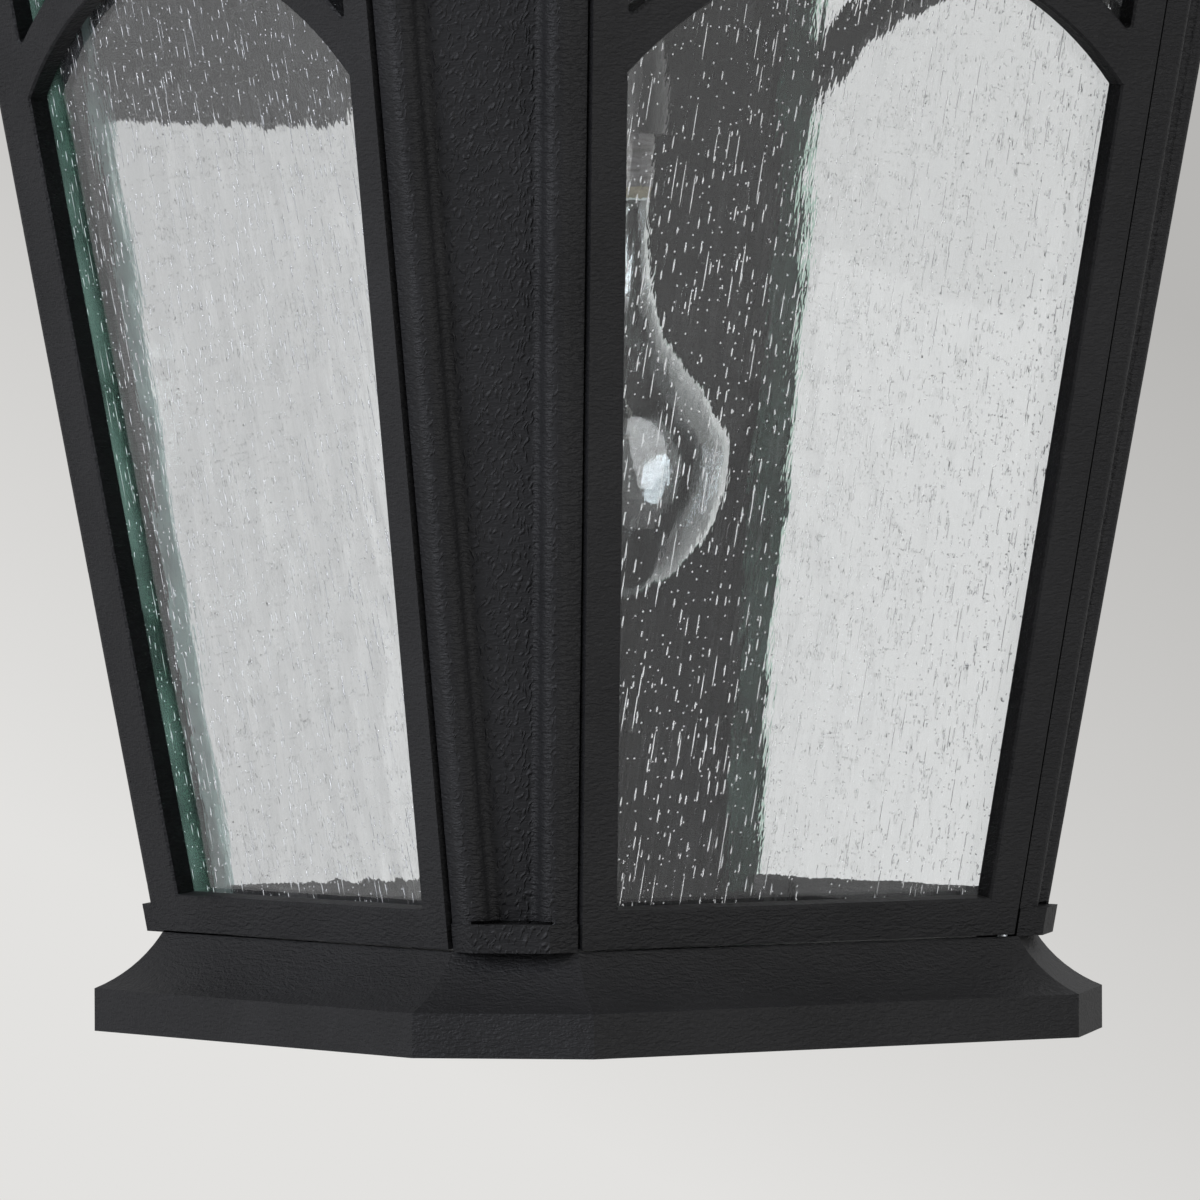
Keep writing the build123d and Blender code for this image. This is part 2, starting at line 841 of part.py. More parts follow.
def top_spindle():
    z = cap_top_z
    top = spindle_top_z
    ring_top = z + spindle_ring_h
    waist_low = ring_top + spindle_taper_h
    collar_low = top - spindle_collar_h
    knop_top = collar_low - spindle_neck_h
    knop_low = knop_top - knop_h
    body = turned((0, z), (spindle_foot_r, z),
                  ((spindle_ring_r, (z + ring_top) / 2), (spindle_foot_r, ring_top)),
                  (spindle_neck_r, waist_low),
                  ((spindle_waist_r, (waist_low + knop_low) / 2), (spindle_neck_r, knop_low)),
                  ((knop_r, (knop_low + knop_top) / 2), (spindle_neck_r, knop_top)),
                  (spindle_neck_r, collar_low), (spindle_collar_r, collar_low + spindle_collar_edge),
                  (spindle_collar_r, top), (0, top))
    return body - rod(stem_hole_r, z - past, top + past)


def stem():
    return tube(stem_r, stem_bore_r, stem_foot_z, spindle_top_z + stem_in_arm)


def stem_nut():
    return hex_nut(stem_r + thread_play, nut_across, shelf_z - bar_t - nut_t, shelf_z - bar_t)


def cross_bar():
    low = shelf_z - bar_t
    bar = slab(2 * bar_half, bar_w, low, shelf_z)
    bar = fillet(bar.edges().filter_by(Axis.Z), bar_corner_r)
    bar -= rod(stem_hole_r, low - past, shelf_z + past)
    for side in (-1, 1):
        bar -= Pos(side * bar_hole, 0, 0) * rod(bar_screw_r + screw_hole_play, low - past, shelf_z + past)
    return bar


def cross_bar_screws():
    screw = slotted_screw(bar_screw_r, bar_screw_head_r, bar_t + bar_screw_l)
    return [Pos(side * bar_hole, 0, shelf_z - bar_t) * screw for side in (-1, 1)]


# Arm and wall plate


def arm():
    """Hollow crook: out from the plate, up, over and down onto the spindle."""
    start = Vector(0, axis_out - plate_t, arm_foot_z)
    knee = start + Vector(0, -arm_reach - rose_t, 0)
    rise = knee + Vector(0, -arm_rise_r, arm_rise_r)
    bend = knee + Vector(0, -arm_rise_r / diagonal, arm_rise_r - arm_rise_r / diagonal)
    end = Vector(0, 0, rise.Z)
    over = Vector(0, rise.Y / 2, rise.Z + rise.Y / 2)
    path = Wire([Edge.make_line(start, knee), Edge.make_three_point_arc(knee, bend, rise),
                 Edge.make_three_point_arc(rise, over, end),
                 Edge.make_line(end, Vector(0, 0, spindle_top_z))])
    section = Plane(origin=start, x_dir=(1, 0, 0), z_dir=(0, -1, 0))
    collar_r = arm_r + rose_collar
    rim = (rose_r, rose_rim_t)
    neck = (collar_r, rose_t)
    rose = turned((0, 0), (rose_r, 0), rim, (hollow_arc(rim, neck, rose_sag), neck),
                  (collar_r, rose_t + rose_collar), (0, rose_t + rose_collar))
    return (sweep(section * Circle(arm_r), path=path) + section.location * rose
            - sweep(section * Circle(arm_bore_r), path=path))


def plate_outline(inset):
    w = plate_w / 2 - inset
    h = plate_h / 2 - inset
    cut = plate_cut - (2 - diagonal) * inset
    return outline((-w + cut, -h), (w - cut, -h), (w, -h + cut), (w, h - cut), (w - cut, h), (-w + cut, h),
                   (-w, h - cut), (-w, -h + cut))


def back_plate():
    low = plate_rim_t
    high = plate_rim_t + plate_slope_t
    body = prism(plate_outline(0), 0, low)
    body += loft([Pos(0, 0, low) * plate_outline(plate_edge_in),
                  Pos(0, 0, high) * plate_outline(plate_slope_in)], ruled=True)
    body += prism(plate_outline(plate_slope_in + plate_field_in), high, plate_t)
    body -= prism(plate_outline(plate_wall), -past, low - past)
    body -= loft([Pos(0, 0, low - past) * plate_outline(plate_wall + plate_edge_in),
                  Pos(0, 0, plate_floor) * plate_outline(plate_slope_in + plate_wall)], ruled=True)
    for place in stud_places():
        body -= place * rod(stud_r + screw_hole_play, 0, plate_t + past)
    return on_wall(body - arm_place * rod(stem_hole_r, 0, plate_t + past))


def wall_gasket():
    ring = prism(plate_outline(plate_wall), 0, gasket_t)
    return on_wall(ring - prism(plate_outline(plate_wall + gasket_w), -past, gasket_t + past))


def stud_places():
    return [Pos(0, side * stud_spacing / 2, 0) for side in (-1, 1)]


def mounting_strap():
    strap = prism(fillet(Rectangle(strap_w, strap_l).vertices(), strap_corner_r), 0, strap_t)
    for side in (-1, 1):
        slot = Pos(0, side * slot_spacing / 2, 0) * Rot(0, 0, 90) * SlotOverall(slot_l, slot_w)
        strap -= prism(slot, -past, strap_t + past)
    for place in stud_places():
        strap -= place * rod(stud_r, -past, strap_t + past)
    return on_wall(strap - earth_place() * rod(earth_r + thread_play, -past, strap_t + past))


def plate_studs():
    return [on_wall(place * rod(stud_r, stud_back, stud_end)) for place in stud_places()]


def cap_nuts():
    low = plate_t + cap_nut_t
    r = cap_nut_r - cap_nut_edge
    nut = turned((0, low - past), (r, low - past), (r, low), dome(r, low, stud_end + cap_nut_crown))
    nut += prism(RegularPolygon(cap_nut_r, hex_sides, major_radius=False), plate_t, low)
    nut -= rod(stud_r + thread_play, plate_t - past, stud_end + tap_past)
    return [on_wall(place * nut) for place in stud_places()]


def arm_lock_washer():
    return on_wall(arm_place * tube(washer_r, stem_hole_r, plate_floor - washer_t, plate_floor))


def arm_lock_nut():
    seat = plate_floor - washer_t
    return on_wall(arm_place * hex_nut(stem_r + thread_play, lock_nut_across, seat - lock_nut_t, seat))


def arm_nipple():
    low = plate_floor - washer_t - lock_nut_t - nipple_in
    return on_wall(arm_place * tube(stem_r, stem_bore_r, low, plate_t + nipple_in_arm))


def earth_place():
    return Pos(-earth_side, -earth_low, 0)


def earth_screw():
    top = strap_t + earth_head_t
    head = rod(earth_head_r, strap_t, top)
    head -= Pos(0, 0, top) * Box(3 * earth_head_r, screw_slot_w, earth_head_t)
    return on_wall(earth_place() * (head + rod(earth_r, stud_back, strap_t)))


def way_places():
    """Places of the terminal block's ways along it, from its middle."""
    pitch = block_long / block_ways
    return [Pos(0, (way - (block_ways - 1) / 2) * pitch, 0) for way in range(block_ways)]


def terminal_block():
    top = strap_t + block_t
    middle = strap_t + block_t / 2
    body = slab(block_wide, block_long, strap_t, top)
    body = fillet(body.edges().filter_by(Axis.Z), block_round)
    for way in way_places():
        body -= way * Pos(0, 0, middle) * Rot(0, 90, 0) * Cylinder(wire_r, block_wide + past)
        for side in (-1, 1):
            hole = rod(block_screw_r + thread_play, middle, top + past)
            body -= way * Pos(side * block_screw_side, 0, 0) * hole
    return on_wall(body)


def terminal_screws():
    low = strap_t + block_t / 2 + wire_r + thread_play
    top = strap_t + block_t - block_screw_sink
    screw = rod(block_screw_r, low, top)
    screw -= Pos(0, 0, top) * Box(3 * block_screw_r, block_screw_sink, 2 * block_screw_sink)
    return [on_wall(way * Pos(side * block_screw_side, 0, 0) * screw)
            for side in (-1, 1) for way in way_places()]


# Lamp


def lamp_form(inset, top):
    """Pear-shaped bulb: round foot, widest part and a long drawn neck."""
    foot = (0, lamp_foot_z + inset)
    wide = (lamp_r - inset, lamp_foot_z + lamp_wide_up)
    neck = (lamp_neck_r - inset, lamp_foot_z + lamp_neck_up)
    side = Spline(foot, wide, neck, tangents=[(1, 0), (0, 1), (0, 1)], tangent_scalars=[1.0, 1.0, 1.0])
    rim = (neck[0], top)
    edges = [side, Line(neck, rim), Line(rim, (0, top)), Line((0, top), foot)]
    return revolve(Plane.XZ * make_face(edges), Axis.Z)


def lamp_glass():
    return lamp_form(0, lamp_glass_top_z) - lamp_form(lamp_wall, lamp_glass_top_z + past)


def lamp_collar():
    return tube(cap_shell_r, cap_shell_r - collar_w, lamp_glass_top_z, lamp_glass_top_z + collar_h)


def lamp_cap():
    low = lamp_glass_top_z + collar_h
    top = lamp_cap_top_z
    crown = top + cap_crown
    hole_r = insulator_r + insulator_rim
    bore = cap_shell_r - shell_t
    edge = cap_edge + shell_t / 2
    cap = turned((0, low), (cap_shell_r, low), (cap_shell_r, top - cap_edge),
                 (cap_shell_r - cap_edge, top), (insulator_r + shell_t, crown), (0, crown))
    inside = turned((0, low - past), (bore, low - past), (bore, top - edge),
                    (cap_shell_r - edge, top - shell_t), (hole_r, crown - shell_t),
                    (hole_r, crown + past), (0, crown + past))
    return cap - inside


def lamp_insulator():
    low = lamp_cap_top_z + cap_crown - insulator_sink
    edge = low + insulator_sink - button_gap
    top = lamp_button_z - button_h - button_gap
    return turned((insulator_bore_r, low), (insulator_r, low), (insulator_r, edge),
                  (insulator_bore_r + shell_t, top), (insulator_bore_r, top))


def lamp_contact():
    low = lamp_cap_top_z + cap_crown - insulator_sink
    edge = lamp_button_z - button_h
    return turned((0, low), (button_r, low), (button_r, edge), dome(button_r, edge, lamp_button_z))


def lamp_mount():
    """Glass foot inside the neck, with its bead and flare."""
    top = lamp_glass_top_z
    low = top - mount_l
    flare_r = lamp_neck_r - lamp_wall - thread_play
    bead = ((mount_bead_r, low + mount_bead_h / 4), (mount_neck_r, low + mount_bead_h))
    flare = ((mount_flare_r, top - mount_flare_h), (flare_r, top - tap_past))
    body = turned((0, low), bead, (mount_r, low + mount_press_l), flare, (flare_r, top), (0, top))
    return body - lamp_filament()


def lamp_filament():
    """Two lead wires, and the coil drawn between them."""
    bead = lamp_glass_top_z - mount_l + mount_bead_h
    low = bead - lead_l
    wires = []
    for side in (-1, 1):
        start = (side * lead_side, 0, bead + lead_in)
        knee = (side * lead_side, 0, bead - lead_in)
        path = Wire([Edge.make_line(start, knee), Edge.make_line(knee, (side * coil_l / 2, 0, low))])
        section = Plane(origin=start, z_dir=(0, 0, -1)) * Circle(lead_r)
        wires.append(sweep(section, path=path, transition=Transition.RIGHT))
    return wires[0] + wires[1] + Pos(0, 0, low) * Rot(0, 90, 0) * Cylinder(coil_r, coil_l)


# Lampholder


def socket_body():
    low = socket_lip_z
    top = socket_top_z
    step_z = top - socket_neck_l
    neck_r = socket_r - socket_step
    brim = ((neck_r - socket_brim / 3, top - socket_brim_h / 3), (neck_r - socket_brim, top))
    body = turned((0, low), (socket_r, low), (socket_r, step_z), (neck_r, step_z + socket_step_h),
                  (neck_r, top - socket_brim_h), brim, (0, top))
    body -= rod(socket_bore_r, low - past, contact_z + contact_t)
    return body - rod(stem_bore_r, contact_z + contact_t + socket_floor_t, top + past)


def socket_shell():
    low = socket_lip_z + shell_in
    high = contact_z + contact_t - button_gap
    shell = rod(shell_r, low, high) - rod(shell_r - shell_t, low - past, high - shell_t)
    return shell - rod(shell_hole_r, low, high + past)


def socket_contact():
    tongue = slab(tongue_w, tongue_l, contact_z, contact_z + tongue_t)
    return tongue + rod(contact_r, contact_z, contact_z + contact_t)


def socket_cap():
    low = socket_top_z
    rim_r = socket_r - socket_cap_in
    hex_low = low + socket_cap_h + socket_hex_up
    top = hex_low + socket_hex_h
    cap = turned((0, low), (rim_r, low), (rim_r, low + socket_cap_h), (socket_hex / 2, hex_low),
                 (socket_hex / 2, top), (0, top))
    cap -= rod(stem_r + thread_play, stem_foot_z - tap_past, top + past)
    return cap - rod(stem_bore_r, low - past, top)


# Latch


def latch_knob():
    top = knob_neck_t + knob_t
    knob = rod(knob_r, knob_neck_t, top)
    knob = chamfer(knob.edges(), knob_edge)
    for k in range(knob_flutes):
        flute = Pos(knob_r + flute_r / 2, 0, 0) * rod(flute_r, knob_neck_t - past, top + past)
        knob -= Rot(0, 0, k * 360 / knob_flutes) * flute
    knob += rod(knob_r - knob_neck_in, knob_gap, knob_neck_t)
    knob += rod(spindle_r, cam_back - spindle_past, knob_neck_t)
    return on_face(latch_place * knob)


def latch_cam():
    tab = Rectangle(cam_l, cam_w, align=(Align.MIN, Align.CENTER)) + Circle(cam_w / 2)
    tab = fillet(tab.vertices().sort_by(Axis.X)[-2:], cam_round)
    return on_face(latch_place * prism(tab - Circle(spindle_r + pin_fit), cam_back, cam_back + cam_t))


def latch_nut():
    nut = hex_nut(spindle_r + pin_fit, latch_nut_across, cam_back - latch_nut_t, cam_back)
    return on_face(latch_place * nut)


def build():
    parts = {}
    for make in (base, head_frame, roof, roof_cap, top_spindle, stem, arm, cross_bar, cross_bar_screws,
                 stem_nut):
        parts[make.__name__] = make()
    for index, corner in enumerate(corners):
        parts[corner + "_column"] = column(index)
    for index, face in enumerate(faces):
        parts[face + "_frame"] = fixed_frame(index) if index else door_frame()
        parts[face + "_pane"] = pane(index)
    parts["hinge_pins"] = hinge_pins()
    parts["pane_clips"] = on_fixed(clip)
    parts["pane_clip_screws"] = on_fixed(clip_screw)
    parts["door_pane_clips"] = on_door(clip)
    parts["door_clip_screws"] = on_door(clip_screw)
    for make in (frame_screws, foot_screws, head_screws, latch_knob, latch_cam, latch_nut, back_plate,
                 wall_gasket, mounting_strap, plate_studs, cap_nuts, arm_nipple, arm_lock_nut,
                 arm_lock_washer, terminal_block, terminal_screws, earth_screw, lamp_glass, lamp_collar,
                 lamp_cap, lamp_insulator, lamp_contact, lamp_mount, lamp_filament, socket_body,
                 socket_shell, socket_contact, socket_cap):
        parts[make.__name__] = make()
    return parts


os.makedirs("parts", exist_ok=True)
to_frame = Pos(0, -axis_out, -origin_z)
for name, part in build().items():
    pieces = part if isinstance(part, list) else [part]
    solids = [solid for piece in pieces for solid in (to_frame * piece).solids()]
    export_step(Compound(children=solids) if len(solids) > 1 else solids[0], "parts/" + name + ".step")
    print(name, len(solids))
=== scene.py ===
import json
import math

import bpy
from mathutils import Matrix, Vector


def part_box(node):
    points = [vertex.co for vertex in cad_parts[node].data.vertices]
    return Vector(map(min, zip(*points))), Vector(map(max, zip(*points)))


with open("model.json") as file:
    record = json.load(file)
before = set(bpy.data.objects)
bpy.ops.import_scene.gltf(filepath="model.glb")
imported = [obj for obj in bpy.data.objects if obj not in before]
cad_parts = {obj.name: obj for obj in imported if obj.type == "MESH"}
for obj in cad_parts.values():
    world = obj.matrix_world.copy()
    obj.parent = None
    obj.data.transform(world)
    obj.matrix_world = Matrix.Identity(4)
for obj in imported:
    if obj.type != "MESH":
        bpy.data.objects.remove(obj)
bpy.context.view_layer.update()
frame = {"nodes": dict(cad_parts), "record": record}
print("stage: frame loaded")

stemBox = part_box("stem")
lanternAxis = (stemBox[0] + stemBox[1]) / 2      # the lantern's upright axis, at the underside of its base
lanternAxis.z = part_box("base")[0].z


def linearFromHex(text):
    channels = [int(text[k:k + 2], 16) / 255 for k in (1, 3, 5)]
    return [c / 12.92 if c <= 0.04045 else ((c + 0.055) / 1.055) ** 2.4 for c in channels] + [1.0]


mmBump = 0.001      # a bump's distance in metres, so that its height is in mm


def perMm(sizes):
    # a pattern's scale on Object coordinates, which are metres, from its length along each axis in mm
    return [1000 / size for size in sizes]


def startNodes(owner):
    # empties the tree of a material or the world, and gives the function that adds a node to it
    owner.use_nodes = True
    tree = owner.node_tree
    tree.nodes.clear()

    def add(kind, inputs=None, out=0, **settings):
        made = tree.nodes.new("ShaderNode" + kind)
        for key, value in settings.items():
            setattr(made, key, value)
        for key, value in (inputs or {}).items():
            if isinstance(value, bpy.types.NodeSocket):
                tree.links.new(value, made.inputs[key])
            else:
                made.inputs[key].default_value = linearFromHex(value) if isinstance(value, str) else value
        if not made.outputs:
            return made
        return made.outputs if out is None else made.outputs[out]

    return add


def patternOf(add, place, sizes, detail=1.0, distortion=0.0):
    # cloudy noise with its own length along each axis, in mm
    spread = add("Mapping", {"Vector": place, "Scale": perMm(sizes)})
    return add("TexNoise", {"Vector": spread, "Scale": 1.0, "Detail": detail, "Distortion": distortion})


markRim = 1.15      # where a mark has faded out, in half sizes from its middle


def marksOf(add, across, along, kind):
    # scattered upright marks on a flat surface: one in each cell, for a share of the cells, sizes in mm
    (cellW, cellH), (halfW, halfH) = kind["cell"], kind["half"]
    wide = add("Math", {0: across, 1: 1000 / cellW}, operation="MULTIPLY")
    tall = add("Math", {0: along, 1: 1000 / cellH}, operation="MULTIPLY")
    flat = add("CombineXYZ", {0: wide, 1: tall})
    cells = add("TexVoronoi", {"Vector": flat, "Scale": 1.0, "Randomness": 1.0}, None, feature="F1",
                voronoi_dimensions="2D")
    dice = add("SeparateXYZ", {0: cells["Color"]}, None)
    away = add("VectorMath", {0: flat, 1: cells["Position"]}, operation="SUBTRACT")
    length = add("MapRange", {0: dice[1], 3: kind["shortest"], 4: 1.0})
    longer = add("Math", {0: cellH / halfH, 1: length}, operation="DIVIDE")
    perHalf = add("CombineXYZ", {0: cellW / halfW, 1: longer})
    out = add("VectorMath", {0: away, 1: perHalf}, operation="MULTIPLY")
    reach = add("VectorMath", {0: out}, "Value", operation="LENGTH")
    mark = add("MapRange", {0: reach, 1: kind["soft"], 2: markRim, 3: 1.0, 4: 0.0},
               interpolation_type="SMOOTHSTEP")
    there = add("Math", {0: dice[0], 1: kind["share"]}, operation="LESS_THAN")
    return add("Math", {0: mark, 1: there}, operation="MULTIPLY")


# Powder coat: thick polyester baked over cast aluminium. It dries into level wrinkles with a low sheen, and
# on the corner columns' sunk panels into short raised worms that lean to one side. The real grain is finer
# than a pixel, so it is drawn 0.6 mm coarse.
coat = {
    "colour": "#121213", "worn": "#171718", "roughness": 0.56, "specular": 0.13,
    "cloudMm": (26.0, 26.0, 26.0), "cloudDetail": 3.0, "cloudFrom": 0.35, "cloudTo": 0.7,
    "wrinkleMm": (2.2, 2.2, 0.66), "wrinkleDetail": 2.0, "wrinkleTwist": 0.6,
    "frameDeepMm": 0.42, "columnDeepMm": 0.6, "grainMm": (0.6, 0.6, 0.6), "grainDeepMm": 0.16,
    # the panels face 45 degrees outwards, where the product of the normal's parts is a half
    "panelFrom": 0.44, "panelTo": 0.475, "panelWrinkle": 0.4,
    "wormLean": 18.0, "wormDeepMm": 0.3, "bendMm": (2.2, 2.2, 2.2), "bendBy": 0.0022,
    "worm": {"cell": (1.4, 2.4), "half": (0.36, 1.5), "shortest": 0.5, "share": 1.0, "soft": 0.0},
}


def powderCoat(name, wrinkleDeepMm, panels=False):
    material = bpy.data.materials.new(name)
    add = startNodes(material)
    place = add("TexCoord", out="Object")
    wrinkle = patternOf(add, place, coat["wrinkleMm"], coat["wrinkleDetail"], coat["wrinkleTwist"])
    grain = patternOf(add, place, coat["grainMm"])
    grainUp = add("Math", {0: grain, 1: coat["grainDeepMm"]}, operation="MULTIPLY")
    height = add("Math", {0: wrinkle, 1: wrinkleDeepMm, 2: grainUp}, operation="MULTIPLY_ADD")
    if panels:
        # the panels are the faces that look out at 45 degrees, and the pattern lies flat on them
        at = add("SeparateXYZ", {0: place}, None)
        facing = add("SeparateXYZ", {0: add("NewGeometry", out="Normal")}, None)
        corner = add("Math", {0: facing[0], 1: facing[1]}, operation="MULTIPLY")
        hand = add("Math", {0: corner}, operation="SIGN")
        turned = add("Math", {0: at[1], 1: hand}, operation="MULTIPLY")
        sideways = add("Math", {0: at[0], 1: turned}, operation="SUBTRACT")
        # the worms bend one way and another
        swirl = add("Mapping", {"Vector": place, "Scale": perMm(coat["bendMm"])})
        swirl = add("TexNoise", {"Vector": swirl, "Scale": 1.0, "Detail": 0.0}, "Color")
        bend = add("SeparateXYZ", {0: swirl}, None)
        sway = add("Math", {0: bend[0], 1: coat["bendBy"]}, operation="MULTIPLY")
        level = add("Math", {0: sideways, 1: math.sqrt(0.5), 2: sway}, operation="MULTIPLY_ADD")
        rise = add("Math", {0: bend[1], 1: coat["bendBy"], 2: at[2]}, operation="MULTIPLY_ADD")
        flat = add("CombineXYZ", {0: level, 1: rise})
        leant = add("VectorRotate", {"Vector": flat, "Angle": math.radians(coat["wormLean"])},
                    rotation_type="Z_AXIS")
        leantAt = add("SeparateXYZ", {0: leant}, None)
        worm = marksOf(add, leantAt[0], leantAt[1], coat["worm"])
        size = add("Math", {0: corner}, operation="ABSOLUTE")
        onPanel = add("MapRange", {0: size, 1: coat["panelFrom"], 2: coat["panelTo"]},
                      interpolation_type="SMOOTHSTEP")
        wormUp = add("Math", {0: worm, 1: coat["wormDeepMm"]}, operation="MULTIPLY")
        wormy = add("Math", {0: height, 1: coat["panelWrinkle"], 2: wormUp}, operation="MULTIPLY_ADD")
        height = add("Mix", {0: onPanel, 2: height, 3: wormy})
    cloud = patternOf(add, place, coat["cloudMm"], coat["cloudDetail"])
    cloud = add("MapRange", {0: cloud, 1: coat["cloudFrom"], 2: coat["cloudTo"]})
    colour = add("Mix", {0: cloud, 6: coat["colour"], 7: coat["worn"]}, 2, data_type="RGBA")
    bump = add("Bump", {"Height": height, "Distance": mmBump, "Strength": 1.0})
    add("OutputMaterial", {"Surface": add("BsdfPrincipled", {
        "Base Color": colour, "Roughness": coat["roughness"], "Normal": bump,
        "Specular IOR Level": coat["specular"]})})
    return material


# Seeded glass: drawn sheet full of small air bubbles, many pulled into upright streaks, with a drawn ripple
# that makes the edges behind it waver.
sheet = {
    "tint": "#ffffff", "hazeAndGlintColour": "#eceef0", "ior": 1.53, "roughness": 0.0,
    "slant": 0.09,      # sideways drift of the streaks for each metre of rise
    "stretch": 0.37,    # metres along the sheet between two panes that face each other
    "marks": [
        {"cell": (3.3, 17.0), "half": (0.13, 5.5), "shortest": 0.4, "share": 0.5, "soft": 0.1},
        {"cell": (2.5, 5.6), "half": (0.18, 1.7), "shortest": 0.25, "share": 0.5, "soft": 0.4},
        {"cell": (2.3, 2.5), "half": (0.2, 0.26), "shortest": 0.7, "share": 0.42, "soft": 0.5},
    ],
    # the bubbles' pale, half opaque colour is a painted glint, standing in for the light that each bubble
    # catches
    "markPaintedGlint": 0.5, "markDeepMm": 0.1,
    # draw lines, which are a little whiter than the haze all over the outer face
    "lineMm": (0.45, 24.0, 5.0), "lineFrom": 0.5, "lineTo": 0.75, "haze": 0.012, "lineWhite": 0.035,
    # the waves of the surface: their lengths and how deep they are, in mm
    "waves": [((7.0, 16.0, 5.0), 0.075), ((1.3, 6.0, 5.0), 0.008), ((2.3, 38.0, 5.0), 0.008),
              ((0.5, 1.6, 5.0), 0.0035)],
    # a window's half width and its foot's height in metres, and what the half width gains for each metre
    # of rise
    "halfFoot": 0.0525, "footUp": 0.0316, "halfPerUp": 0.08605,
    # the glow at a window's edge comes in patches, and is fully tinted from a share of tintBy
    "patchMm": (40.0, 22.0, 5.0), "patchFrom": 0.35, "patchTo": 0.6, "patchLeast": 0.35, "tintBy": 0.02,
}
# Light in the glass's green edge shows in a strip of each window: on the wall's side of the two that look
# sideways, and at the left of the other two.
glows = {
    "sides": {"side": 1, "wideMm": 9.0, "share": 0.24, "colour": "#9cc4b2"},
    "faces": {"side": -1, "wideMm": 1.8, "share": 0.85, "colour": "#a8c4c0"},
}


def seededGlass(name, alongY, glow):
    # alongY is true of the two panes that look sideways and run along Y
    material = bpy.data.materials.new(name)
    add = startNodes(material)
    place = add("TexCoord", out="Object")
    at = add("SeparateXYZ", {0: place}, None)
    # the marks lie on the outer face alone, because bubbles on both faces would show twice
    middle = add("VectorMath", {0: place, 1: lanternAxis}, operation="SUBTRACT")
    face = add("NewGeometry", out=None)
    outward = add("VectorMath", {0: face["Normal"], 1: middle}, "Value", operation="DOT_PRODUCT")
    outwards = add("Math", {0: outward, 1: 0.0}, operation="GREATER_THAN")
    # a ray that hits a face from inside the glass is given its normal turned round
    outside = add("Math", {0: outwards, 1: face["Backfacing"], 2: 0.5}, operation="COMPARE")
    outside = add("Math", {0: 1.0, 1: outside}, operation="SUBTRACT")
    # panes that face each other get different stretches of the sheet
    along, facing = (1, 0) if alongY else (0, 1)
    farSide = add("Math", {0: add("SeparateXYZ", {0: middle}, facing), 1: 0.0}, operation="GREATER_THAN")
    slid = add("Math", {0: farSide, 1: sheet["stretch"], 2: at[along]}, operation="MULTIPLY_ADD")
    across = add("Math", {0: at[2], 1: -sheet["slant"], 2: slid}, operation="MULTIPLY_ADD")
    flat = add("CombineXYZ", {0: across, 1: at[2], 2: outside})
    marks = [marksOf(add, across, at[2], kind) for kind in sheet["marks"]]
    spots = marks[0]
    for mark in marks[1:]:
        spots = add("Math", {0: spots, 1: mark}, operation="MAXIMUM")
    spots = add("Math", {0: spots, 1: outside}, operation="MULTIPLY")
    lines = add("MapRange", {0: patternOf(add, flat, sheet["lineMm"], 0.0), 1: sheet["lineFrom"],
                             2: sheet["lineTo"], 3: sheet["haze"], 4: sheet["lineWhite"]})
    # the marks' share of pale colour is their painted glint, and the lines' share is the glass's own haze
    white = add("Math", {0: spots, 1: sheet["markPaintedGlint"]}, operation="MULTIPLY")
    white = add("Math", {0: white, 1: add("Math", {0: lines, 1: outside}, operation="MULTIPLY")},
                operation="MAXIMUM")
    # how far in from the window's edge a point lies gives its share of the edge's glow
    here = add("SeparateXYZ", {0: middle}, None)
    halfAtBase = sheet["halfFoot"] - sheet["footUp"] * sheet["halfPerUp"]
    half = add("Math", {0: here[2], 1: sheet["halfPerUp"], 2: halfAtBase}, operation="MULTIPLY_ADD")
    inward = add("Math", {0: here[along], 1: -glow["side"], 2: half}, operation="MULTIPLY_ADD")
    edge = add("MapRange", {0: inward, 1: 0.0, 2: glow["wideMm"] / 1000, 3: glow["share"], 4: 0.0})
    patchy = add("MapRange", {0: patternOf(add, flat, sheet["patchMm"]), 1: sheet["patchFrom"],
                              2: sheet["patchTo"], 3: sheet["patchLeast"]})
    edge = add("Math", {0: edge, 1: patchy}, operation="MULTIPLY")
    height = add("Math", {0: spots, 1: sheet["markDeepMm"]}, operation="MULTIPLY")
    for sizes, deep in sheet["waves"]:
        wave = patternOf(add, flat, sizes, 0.0)
        height = add("Math", {0: wave, 1: deep, 2: height}, operation="MULTIPLY_ADD")
    bump = add("Bump", {"Height": height, "Distance": mmBump, "Strength": 1.0})
    # the haze and the painted glint of the bubbles both take the pale colour
    hazeAndGlintShare = add("MapRange", {0: white, 1: 0.0, 2: sheet["haze"]})
    colour = add("Mix", {0: hazeAndGlintShare, 6: sheet["tint"], 7: sheet["hazeAndGlintColour"]}, 2, data_type="RGBA")
    onEdge = add("MapRange", {0: edge, 1: 0.0, 2: sheet["tintBy"]})
    colour = add("Mix", {0: onEdge, 6: colour, 7: glow["colour"]}, 2, data_type="RGBA")
    # painted glint: the bubbles take the pale colour outright
    colour = add("Mix", {0: spots, 6: colour, 7: sheet["hazeAndGlintColour"]}, 2, data_type="RGBA")
    solid = add("Math", {0: white, 1: edge}, operation="MAXIMUM")
    clear = add("Math", {0: 1.0, 1: solid}, operation="SUBTRACT")
    add("OutputMaterial", {"Surface": add("BsdfPrincipled", {
        "Base Color": colour, "Roughness": sheet["roughness"], "IOR": sheet["ior"],
        "Transmission Weight": clear, "Normal": bump})})
    return material


# Lime glass blown in a mould: clear and thin, with a slow change of thickness that bends its reflections.
bulb = {"colour": "#f6faf9", "ior": 1.5, "thickMm": (22.0, 22.0, 22.0), "deep": 0.0001, "strength": 0.4}


